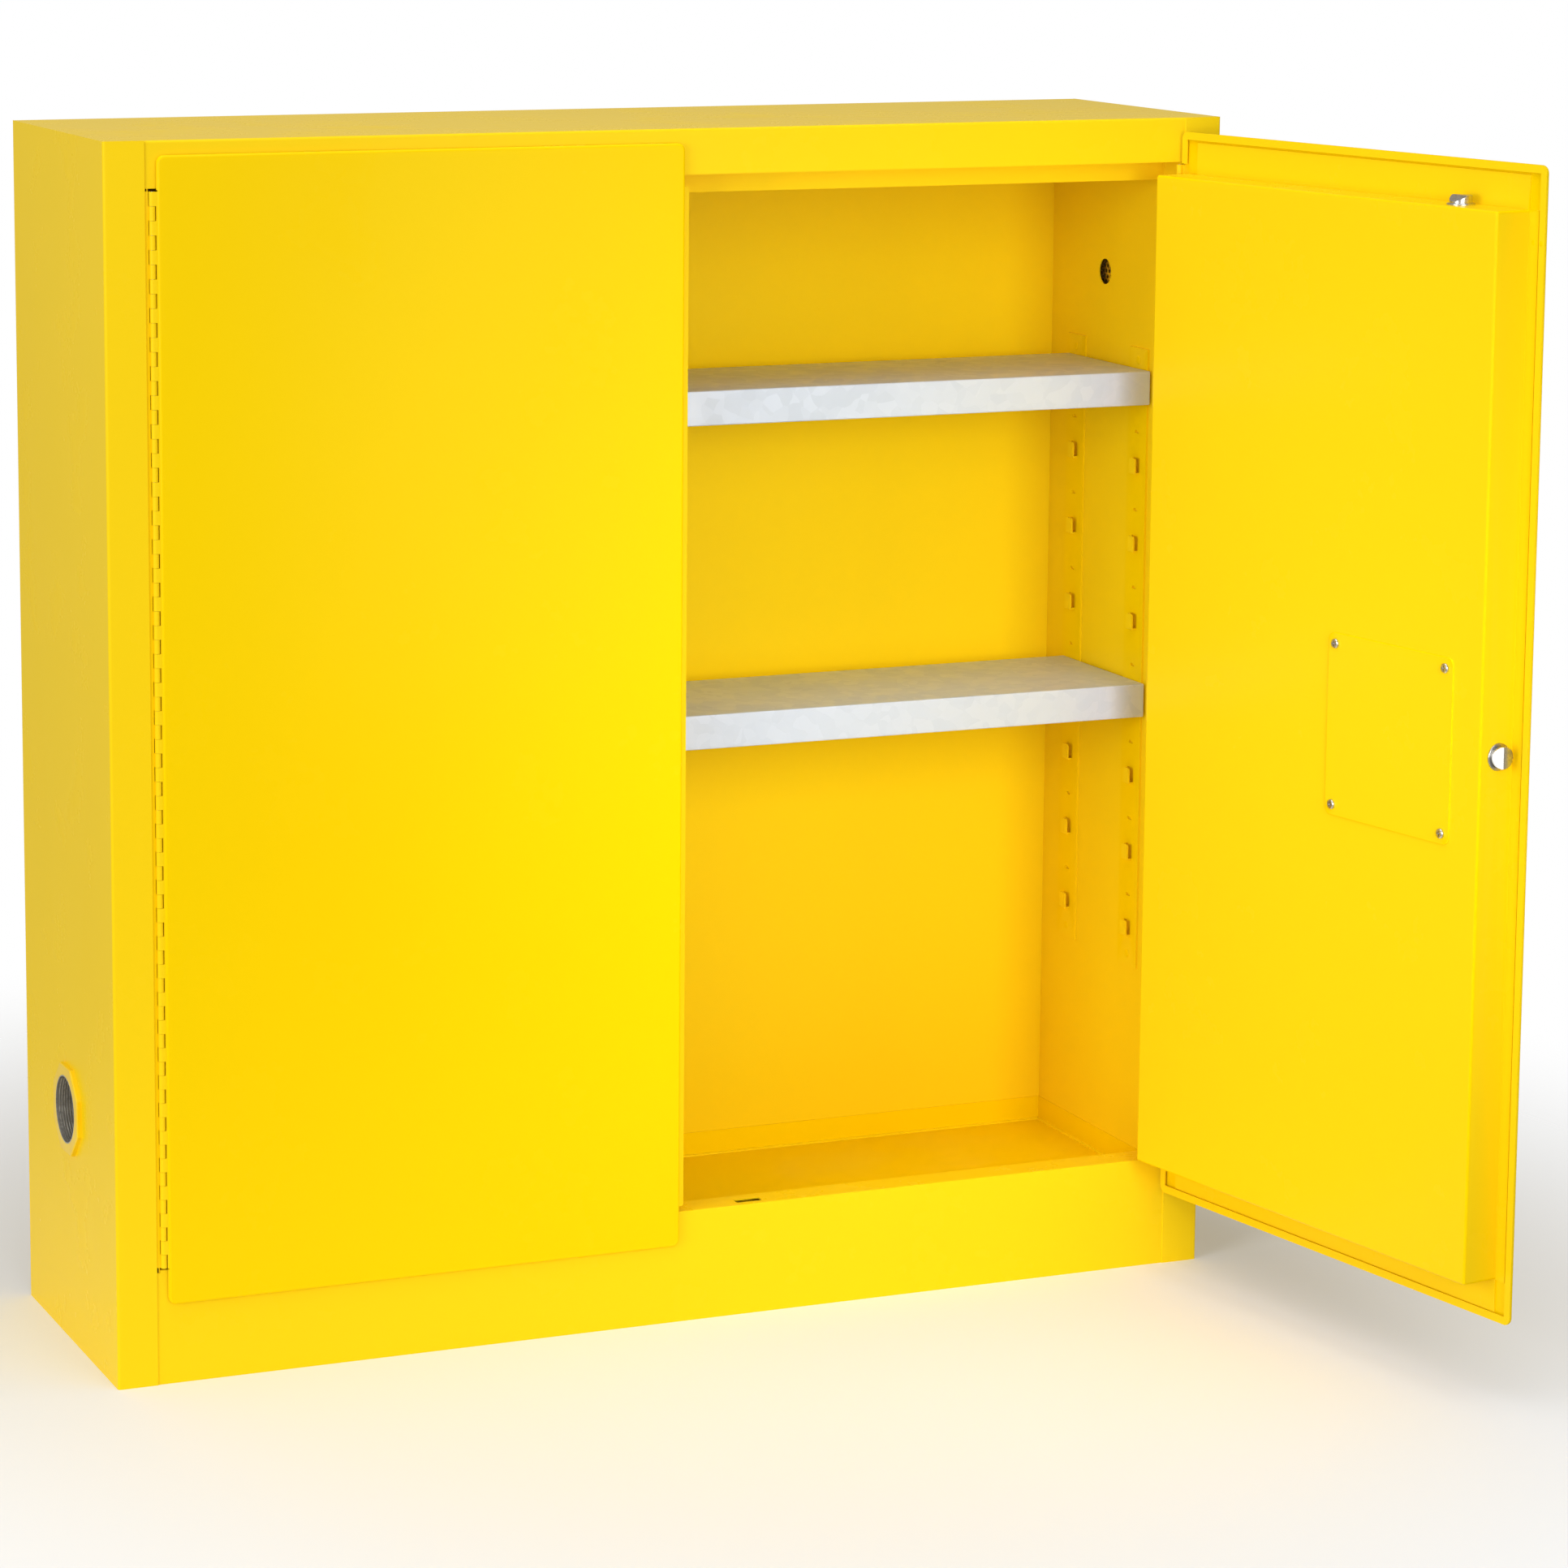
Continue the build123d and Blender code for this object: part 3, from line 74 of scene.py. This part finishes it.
class Finish:
    """A material being mixed: its node tree and the shader at its end."""

    def __init__(self, name):
        self.material = bpy.data.materials.new(name)
        self.material.use_nodes = True
        self.tree = self.material.node_tree
        self.shader = self.tree.nodes["Principled BSDF"]
        self.place = self.node("ShaderNodeTexCoord", {}, {}, "Object")

    def node(self, kind, settings, values, output=0):
        """Adds a node and gives its chosen output. Values go to its inputs by name or number."""
        made = self.tree.nodes.new(kind)
        for key, value in settings.items():
            setattr(made, key, value)
        for key, value in values.items():
            self.feed(made.inputs[key], value)
        return Wire(self, made.outputs[output])

    def feed(self, socket, value):
        if isinstance(value, Wire):
            self.tree.links.new(value.socket, socket)
        else:
            socket.default_value = value

    def set(self, **values):
        """Sets inputs of the shader, with an underscore for each space in their names."""
        for key, value in values.items():
            self.feed(self.shader.inputs[key.replace("_", " ")], value)

    def noise(self, scale, detail=2.0, rough=0.5, stretch=None):
        """Cloudy noise from 0 to 1. The scale is in cells to the metre."""
        place = self.place
        if stretch:
            place = self.node("ShaderNodeMapping", {}, {"Vector": place, "Scale": stretch})
        values = {"Vector": place, "Scale": scale, "Detail": detail, "Roughness": rough}
        return self.node("ShaderNodeTexNoise", {}, values)

    def mix(self, mask, a, b):
        """Colour a where the mask is 0 and colour b where it is 1."""
        factor, first, second, result = 0, 6, 7, 2
        values = {factor: mask, first: a, second: b}
        return self.node("ShaderNodeMix", {"data_type": "RGBA"}, values, result)

    def axes(self, vector):
        split = self.node("ShaderNodeSeparateXYZ", {}, {0: vector})
        outputs = split.socket.node.outputs
        return [Wire(self, outputs[i]) for i in range(3)]

    def geometry(self, output):
        return self.node("ShaderNodeNewGeometry", {}, {}, output)

    def bump(self, height, depth, strength):
        values = {"Height": height, "Distance": depth, "Strength": strength}
        return self.node("ShaderNodeBump", {}, values)


DUST = (0.80, 0.76, 0.60, 1.0)
PEEL_SCALE, PEEL_DEPTH = 420.0, 0.00010


def powder_coat(name, colour, shade, rough, peel):
    """Sprayed and baked coat: orange peel, faint mottling, rub marks and a painted highlight on
    sharp edges.
    """
    coat = Finish(name)
    cloud = coat.noise(2.6, 3.0).ramp(0.35, 0.7)
    tone = coat.mix(cloud * 0.30, colour, shade)
    speck = coat.noise(1400.0, 1.0).ramp(0.70, 0.80)
    tone = coat.mix(speck * 0.12, tone, shade)
    rubs = coat.noise(11.0, 5.0, 0.6).ramp(0.50, 0.75)
    # Sharp convex edges are mixed towards a lighter, richer yellow: a painted highlight along the
    # edges.
    edge = coat.geometry("Pointiness").ramp(0.52, 0.60)
    edge_highlight = tuple(min(1.0, c * 1.05 + 0.02) for c in colour[:3]) + (1.0,)
    tone = coat.mix(edge * 0.35, tone, edge_highlight)
    up = coat.axes(coat.geometry("Normal"))[2].ramp(0.6, 0.95)
    dust = up * coat.noise(9.0, 6.0, 0.7).ramp(0.45, 0.75)
    tone = coat.mix(dust * 0.02, tone, DUST)
    wave = coat.bump(coat.noise(PEEL_SCALE, 2.0, 0.45), PEEL_DEPTH, peel)
    coat.set(Base_Color=tone, Roughness=rubs * 0.06 + dust * 0.05 + rough, Normal=wave)
    coat.set(Specular_IOR_Level=0.06, IOR=1.45)
    return coat.material


def paint_nodes(material, *nodes):
    """Gives CAD nodes this material in every slot."""
    for node in nodes:
        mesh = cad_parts[node].data
        if mesh.materials:
            for index in range(len(mesh.materials)):
                mesh.materials[index] = material
        else:
            mesh.materials.append(material)


YELLOW = (0.965, 0.655, 0.000, 1.0)
DEEP_YELLOW = (0.945, 0.615, 0.000, 1.0)
shell_coat = powder_coat("shell_powder_coat", YELLOW, DEEP_YELLOW, 0.26, 0.30)
paint_nodes(shell_coat, "outer_left_side", "outer_right_side", "top_panel", "outer_back")
paint_nodes(shell_coat, "outer_bottom", "front_base_panel", "sill", "soffit")
paint_nodes(shell_coat, "left_stile", "right_stile")


# ---- Liner ------------------------------------------------------------------------------
# Inner walls, ceiling, back, door stop and the leak-tight sump pan. They are the same sheet
# and coat as the shell, a touch less glossy because the spray gun reaches them less well.
liner_coat = powder_coat("liner_powder_coat", YELLOW, DEEP_YELLOW, 0.32, 0.38)
paint_nodes(liner_coat, "inner_left_wall", "inner_right_wall", "inner_back_wall")
paint_nodes(liner_coat, "inner_ceiling", "door_stop", "sump_pan")


# ---- Sump weld --------------------------------------------------------------------------
# The sump pan's floor is welded to its four walls all the way round, so that it holds a
# spill. The bead is laid by hand, so it ripples, and it is coated with the pan.
SUMP_FLOOR_Z = 0.0780
SUMP_INSIDE = ((-0.5043, 0.5043), (-0.1210, 0.1108))
BEAD_RADIUS, BEAD_RIPPLE, RIPPLE_PITCH = 0.0021, 0.00030, 0.0050


def place_piece(name, shape, body, material):
    """Turns a finished bmesh into a piece that rides on a body."""
    data = bpy.data.meshes.new(name)
    shape.to_mesh(data)
    shape.free()
    data.materials.append(material)
    piece = bpy.data.objects.new(name, data)
    bpy.context.scene.collection.objects.link(piece)
    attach(piece, body)
    return piece


def weld_bead(name, start, end, body, material):
    """A closed, rippled bar from start to end, half sunk in the corner that it fills."""
    steps, around, drift = 3, 10, 0.37
    start, end = Vector(start), Vector(end)
    along = (end - start).normalized()
    across = Vector((0.0, 0.0, 1.0)).cross(along)
    count = round((end - start).length / RIPPLE_PITCH) * steps
    bead = bmesh.new()
    rings = []
    for index in range(count + 1):
        spot = start.lerp(end, index / count)
        wave = math.cos(2 * math.pi * index / steps) + 0.4 * math.sin(index * drift)
        radius = BEAD_RADIUS + BEAD_RIPPLE * wave
        ring = []
        for turn in range(around):
            angle = 2 * math.pi * turn / around
            offset = across * math.cos(angle) + Vector((0.0, 0.0, math.sin(angle)))
            ring.append(bead.verts.new(spot + offset * radius))
        rings.append(ring)
    for near, far in zip(rings, rings[1:]):
        for turn in range(around):
            after = (turn + 1) % around
            bead.faces.new((near[turn], near[after], far[after], far[turn]))
    bead.faces.new(rings[0][::-1])
    bead.faces.new(rings[-1])
    bmesh.ops.recalc_face_normals(bead, faces=bead.faces)
    for face in bead.faces:
        face.smooth = True
    return place_piece(name, bead, body, material)


(left, right), (front, back) = SUMP_INSIDE
corners = {"front": ((left, front), (right, front)), "back": ((left, back), (right, back))}
corners.update({"left": ((left, front), (left, back)), "right": ((right, front), (right, back))})
for side, ends in corners.items():
    start, end = [(x, y, SUMP_FLOOR_Z) for x, y in ends]
    weld_bead("sump_weld_" + side, start, end, "cabinet", liner_coat)


# ---- Spacers and bearers ----------------------------------------------------------------
# Z bars of bare galvanised sheet that hold the liner off the shell. They are spot welded
# inside the air gap, where nothing shows once the back is on.
def galvanised(name, colour, dark, rough, metal=0.88):
    """Hot-dip zinc: spangle cells, soft drawing lines and a dull bloom."""
    zinc = Finish(name)
    warp = zinc.node("ShaderNodeTexNoise", {}, {"Vector": zinc.place, "Scale": 30.0}, "Color")
    shift, amount = {"operation": "MULTIPLY_ADD"}, (0.02, 0.02, 0.02)
    place = zinc.node("ShaderNodeVectorMath", shift, {0: warp, 1: amount, 2: zinc.place})
    cells = zinc.node("ShaderNodeTexVoronoi", {}, {"Vector": place, "Scale": 85.0}, "Color")
    spangle = zinc.axes(cells)[0]
    bloom = zinc.noise(7.0, 5.0, 0.6).ramp(0.35, 0.70)
    lines = zinc.noise(60.0, 3.0, 0.6, stretch=(0.03, 1.0, 1.0))
    tone = zinc.mix(spangle * 0.45 + bloom * 0.35, colour, dark)
    scuff = zinc.noise(25.0, 6.0, 0.7, stretch=(0.5, 1.0, 1.0)).ramp(0.60, 0.75)
    grain = zinc.bump(lines + spangle * 0.3, 0.00012, 0.25)
    zinc.set(Base_Color=tone, Metallic=metal, Normal=grain)
    zinc.set(Roughness=spangle * 0.12 + bloom * 0.10 + scuff * 0.08 + rough)
    return zinc.material


SPACERS = "side_spacers", "back_spacers", "ceiling_spacers", "floor_bearers"
SPACER_LIGHT, SPACER_DARK = (0.60, 0.61, 0.62, 1.0), (0.44, 0.45, 0.46, 1.0)
spacer_zinc = galvanised("spacer_zinc", SPACER_LIGHT, SPACER_DARK, 0.34)
paint_nodes(spacer_zinc, *SPACERS)


# ---- Shelf standards --------------------------------------------------------------------
# Four slotted strips with lanced hooks, riveted to the inner side walls and coated with
# them. The rivets are pop rivets, coated over.
standard_coat = powder_coat("standard_powder_coat", YELLOW, DEEP_YELLOW, 0.30, 0.30)
for side in ("left", "right"):
    paint_nodes(standard_coat, side + "_front_standard", side + "_rear_standard")
paint_nodes(standard_coat, "standard_rivets")


# ---- Shelves ----------------------------------------------------------------------------
# Two galvanised trays, folded down at the front, the back and the ends. Their end flanges
# drop into the hooks of the standards.
SHELF_LIGHT, SHELF_DARK = (0.60, 0.66, 0.76, 1.0), (0.49, 0.55, 0.64, 1.0)
shelf_zinc = galvanised("shelf_zinc", SHELF_LIGHT, SHELF_DARK, 0.36, 0.30)
paint_nodes(shelf_zinc, "upper_shelf", "lower_shelf")


# ---- Vents ------------------------------------------------------------------------------
# Two 2 inch fittings, each with an octagon flange outside and a threaded tube that runs
# through the air gap. The flange is coated with the shell, the thread is bare zinc. The
# screens are punched brass discs, and the upper fitting is shut with a coated plug.
THREAD_RADIUS = 0.0316
VENTS = {"left_vent_port": 0.221, "right_vent_port": 0.959}


def vent_finish(name, height):
    """Coated outside and bare inside the thread, for a vent at this height."""
    port = Finish(name)
    x, y, z = port.axes(port.place)
    up = z - height
    far = (y * y + up * up) ** 0.5
    bare = 1.0 - far.ramp(THREAD_RADIUS - 0.0002, THREAD_RADIUS + 0.0002)
    dirt = port.noise(160.0, 5.0, 0.7).ramp(0.45, 0.70)
    zinc = port.mix(dirt, (0.62, 0.60, 0.55, 1.0), (0.34, 0.32, 0.28, 1.0))
    coat = port.mix(port.noise(40.0, 3.0).ramp(0.4, 0.7), YELLOW, DEEP_YELLOW)
    port.set(Base_Color=port.mix(bare, coat, zinc), Metallic=bare * 0.9)
    port.set(Roughness=bare * (dirt * 0.2 + 0.02) + 0.28)
    port.set(Normal=port.bump(port.noise(520.0, 2.0), 0.0002, 0.3))
    return port.material


for vent, height in VENTS.items():
    paint_nodes(vent_finish(vent + "_finish", height), vent)
plug_coat = powder_coat("vent_plug_coat", YELLOW, DEEP_YELLOW, 0.30, 0.35)
paint_nodes(plug_coat, "right_vent_cap")

screen = Finish("punched_brass")
tarnish = screen.noise(120.0, 6.0, 0.7).ramp(0.40, 0.70)
screen.set(Base_Color=screen.mix(tarnish, (0.62, 0.47, 0.20, 1.0), (0.24, 0.17, 0.08, 1.0)))
screen.set(Metallic=1.0, Roughness=tarnish * 0.25 + 0.30)
screen.set(Normal=screen.bump(screen.noise(700.0, 2.0), 0.0001, 0.3))
paint_nodes(screen.material, "left_flame_screen", "right_flame_screen")


# ---- Hinges -----------------------------------------------------------------------------
# Full-length piano hinges of rolled steel leaf, half-inch knuckles on a steel pin. The
# leaves are welded to the stile and the door, and coated with them.
hinge_coat = powder_coat("hinge_powder_coat", YELLOW, DEEP_YELLOW, 0.30, 0.30)
for side in ("left", "right"):
    paint_nodes(hinge_coat, side + "_fixed_leaf", side + "_moving_leaf")


def plated(name, colour, dark, rough, smudge, scale=1.0):
    """Bright plated steel: fine turning lines, smudges and a darker bloom in places."""
    plate = Finish(name)
    lines = plate.noise(900.0 * scale, 2.0, 0.6, stretch=(1.0, 1.0, 0.05))
    stain = plate.noise(90.0 * scale, 5.0, 0.65).ramp(0.45, 0.72)
    plate.set(Base_Color=plate.mix(stain * smudge, colour, dark), Metallic=1.0)
    plate.set(Roughness=stain * 0.14 + lines * 0.06 + rough)
    plate.set(Normal=plate.bump(lines, 0.00006, 0.25))
    return plate.material


pin_steel = plated("pin_steel", (0.50, 0.50, 0.50, 1.0), (0.30, 0.29, 0.27, 1.0), 0.30, 0.7)
paint_nodes(pin_steel, "left_hinge_pin", "right_hinge_pin")


# ---- Doors ------------------------------------------------------------------------------
# Each door is an outer skin with a rolled and hemmed rim, and an inner pan spot welded to
# it, both 18 gauge sheet with the same coat as the shell.
door_coat = powder_coat("door_powder_coat", YELLOW, DEEP_YELLOW, 0.25, 0.28)
paint_nodes(door_coat, "left_door_skin", "right_door_skin", "left_door_pan", "right_door_pan")


# ---- Spot welds -------------------------------------------------------------------------
# Two small raised dots near the top of the right door's free side, one on the pan's flange
# and one on the skin's hem, where the pan is tacked to the skin under the coat.
HINGE_AXIS = Vector((0.5025, -0.1529, 0.0))
OPEN_ANGLE = math.radians(100.0)
DOT_RADIUS, DOT_RISE = 0.0023, 0.00035
FLANGE_DOT = Vector((0.0150, -0.1545, 1.0380))
HEM_DOT = Vector((0.0034, -0.1528, 1.0380))


def on_open_door(point):
    """Where a point of the shut right door is when the door stands open."""
    return HINGE_AXIS + Matrix.Rotation(OPEN_ANGLE, 3, "Z") @ (point - HINGE_AXIS)


def weld_dot(name, point):
    """A flattened ball, half sunk in the door's sheet at that point of the shut door."""
    dot = bmesh.new()
    bmesh.ops.create_uvsphere(dot, u_segments=24, v_segments=12, radius=DOT_RADIUS)
    flat = Matrix.Diagonal((1.0, DOT_RISE / DOT_RADIUS, 1.0, 1.0))
    stand = Matrix.Translation(on_open_door(point)) @ Matrix.Rotation(OPEN_ANGLE, 4, "Z")
    bmesh.ops.transform(dot, matrix=stand @ flat, verts=dot.verts)
    for face in dot.faces:
        face.smooth = True
    place_piece(name, dot, "right_door", door_coat)


weld_dot("flange_spot_weld", FLANGE_DOT)
weld_dot("hem_spot_weld", HEM_DOT)


# ---- Latch cover ------------------------------------------------------------------------
# A coated plate over the access hole behind the latch, held by four plated pan-head screws
# with cross recesses.
paint_nodes(door_coat, "latch_cover")
screw_zinc = plated("screw_zinc", (0.66, 0.66, 0.68, 1.0), (0.30, 0.29, 0.28, 1.0), 0.24, 0.8, 2.0)
paint_nodes(screw_zinc, "cover_screws")


# ---- Latch ------------------------------------------------------------------------------
# Three-point latch. The round bolts and their bushes are turned and bright plated, the flat
# rods and the cam are zinc plated strip, the guides are black nylon, and the recessed dish
# and T-handle are black coated zinc castings with a nickel lock plug.
bolt_plate = plated("bolt_plate", (0.58, 0.57, 0.55, 1.0), (0.26, 0.25, 0.23, 1.0), 0.22, 0.7)
paint_nodes(bolt_plate, "top_bolt", "side_bolt", "bottom_bolt", "bolt_bushes", "handle_shaft")
rod_zinc = galvanised("rod_zinc", (0.64, 0.63, 0.60, 1.0), (0.48, 0.47, 0.44, 1.0), 0.30)
paint_nodes(rod_zinc, "top_rod", "bottom_rod", "side_rod", "latch_cam")
NICKEL, TARNISH = (0.72, 0.71, 0.68, 1.0), (0.40, 0.38, 0.34, 1.0)
lock_nickel = plated("lock_nickel", NICKEL, TARNISH, 0.16, 0.6, 2.0)
paint_nodes(lock_nickel, "lock_core")


def black_finish(name, colour, worn, rough, grain):
    """Matt black with paler patches and worn edges."""
    black = Finish(name)
    patch = black.noise(60.0, 4.0, 0.6).ramp(0.40, 0.70)
    edge = black.geometry("Pointiness").ramp(0.53, 0.62)
    tone = black.mix(patch, colour, tuple(c * 1.6 for c in colour[:3]) + (1.0,))
    black.set(Base_Color=black.mix(edge * 0.5, tone, worn))
    black.set(Roughness=patch * 0.12 + edge * 0.1 + rough)
    black.set(Normal=black.bump(black.noise(1100.0, 2.0), 0.00015, grain))
    return black.material


BLACK, BLACK_WORN = (0.012, 0.012, 0.013, 1.0), (0.10, 0.10, 0.10, 1.0)
cast_black = black_finish("handle_black", BLACK, BLACK_WORN, 0.34, 0.4)
paint_nodes(cast_black, "handle_dish", "handle_lever")
NYLON, NYLON_WORN = (0.016, 0.016, 0.016, 1.0), (0.05, 0.05, 0.05, 1.0)
nylon = black_finish("guide_nylon", NYLON, NYLON_WORN, 0.52, 0.3)
paint_nodes(nylon, "rod_guides")


# ---- Studio -----------------------------------------------------------------------------
# A plain pale floor that fades into an even white surround. Broad soft lights stand above,
# in front and to the left, and a small one fills the open bay.
FLOOR_HALF = 4.0
FADE_START, FADE_END = 0.55, 1.45
PALE, PALE_SHADE = (0.97, 0.97, 0.97, 1.0), (0.95, 0.95, 0.95, 1.0)
WHITE = (1.0, 1.0, 1.0, 1.0)
SEEN_STRENGTH, LIT_STRENGTH = 1.0, 0.38
floor_mesh = bmesh.new()
bmesh.ops.create_grid(floor_mesh, x_segments=1, y_segments=1, size=FLOOR_HALF)
floor_data = bpy.data.meshes.new("studio_floor")
floor_mesh.to_mesh(floor_data)
floor_mesh.free()
floor = bpy.data.objects.new("studio_floor", floor_data)
bpy.context.scene.collection.objects.link(floor)
pale = Finish("studio_pale")
soft = pale.noise(0.8, 2.0)
pale.set(Base_Color=pale.mix(soft, PALE, PALE_SHADE), Roughness=0.9)
east, north, _ = pale.axes(pale.place)
reach = (east * east + north * north) ** 0.5
pale.set(Specular_IOR_Level=0.05, Alpha=1.0 - reach.ramp(FADE_START, FADE_END))
floor.data.materials.append(pale.material)

world = bpy.data.worlds.new("studio_surround")
bpy.context.scene.world = world
world.use_nodes = True
nodes, links = world.node_tree.nodes, world.node_tree.links
seen, lit = nodes["Background"], nodes.new("ShaderNodeBackground")
for background, strength in ((seen, SEEN_STRENGTH), (lit, LIT_STRENGTH)):
    background.inputs["Color"].default_value = WHITE
    background.inputs["Strength"].default_value = strength
choice, ray = nodes.new("ShaderNodeMixShader"), nodes.new("ShaderNodeLightPath")
links.new(ray.outputs["Is Camera Ray"], choice.inputs[0])
links.new(lit.outputs[0], choice.inputs[1])
links.new(seen.outputs[0], choice.inputs[2])
links.new(choice.outputs[0], nodes["World Output"].inputs["Surface"])


def soft_light(name, spot, aim, size, watts, spread=180.0):
    """A rectangular area light at a spot, turned to a point. The spread is in degrees."""
    data = bpy.data.lights.new(name, "AREA")
    data.shape = "RECTANGLE"
    data.size, data.size_y = size
    data.energy = watts
    data.spread = math.radians(spread)
    light = bpy.data.objects.new(name, data)
    bpy.context.scene.collection.objects.link(light)
    light.location = spot
    light.rotation_euler = (Vector(aim) - Vector(spot)).to_track_quat("-Z", "Y").to_euler()


soft_light("overhead_light", (-0.3, -0.6, 3.4), (0.0, 0.0, 0.5), (2.8, 2.4), 42.0)
soft_light("front_light", (-0.6, -4.6, 1.7), (0.2, 0.0, 0.55), (2.6, 2.2), 41.0)
soft_light("left_light", (-3.4, -1.8, 1.2), (-0.5, 0.0, 0.55), (1.8, 1.8), 58.0)
soft_light("bay_light", (0.30, -1.5, 0.80), (0.27, 0.1, 0.52), (0.5, 0.8), 1.4, 60.0)

LENS, SENSOR, SHIFT = 110.8, 36.0, (0.0831, -0.1478)
EYE = (-1.6779, -4.1848, 1.4040)
TURN, TILT, LEAN = math.radians(22.211), math.radians(8.765), math.radians(0.267)
lens = bpy.data.cameras.new("studio_camera")
lens.sensor_width = SENSOR
lens.lens = LENS
lens.shift_x, lens.shift_y = SHIFT
lens.clip_start, lens.clip_end = 0.05, 60.0
camera = bpy.data.objects.new("studio_camera", lens)
bpy.context.scene.collection.objects.link(camera)
facing = Matrix.Rotation(-TURN, 4, "Z") @ Matrix.Rotation(math.pi / 2 - TILT, 4, "X")
camera.matrix_world = Matrix.Translation(EYE) @ facing @ Matrix.Rotation(LEAN, 4, "Z")
bpy.context.scene.camera = camera
bpy.context.scene.view_settings.view_transform = "Standard"

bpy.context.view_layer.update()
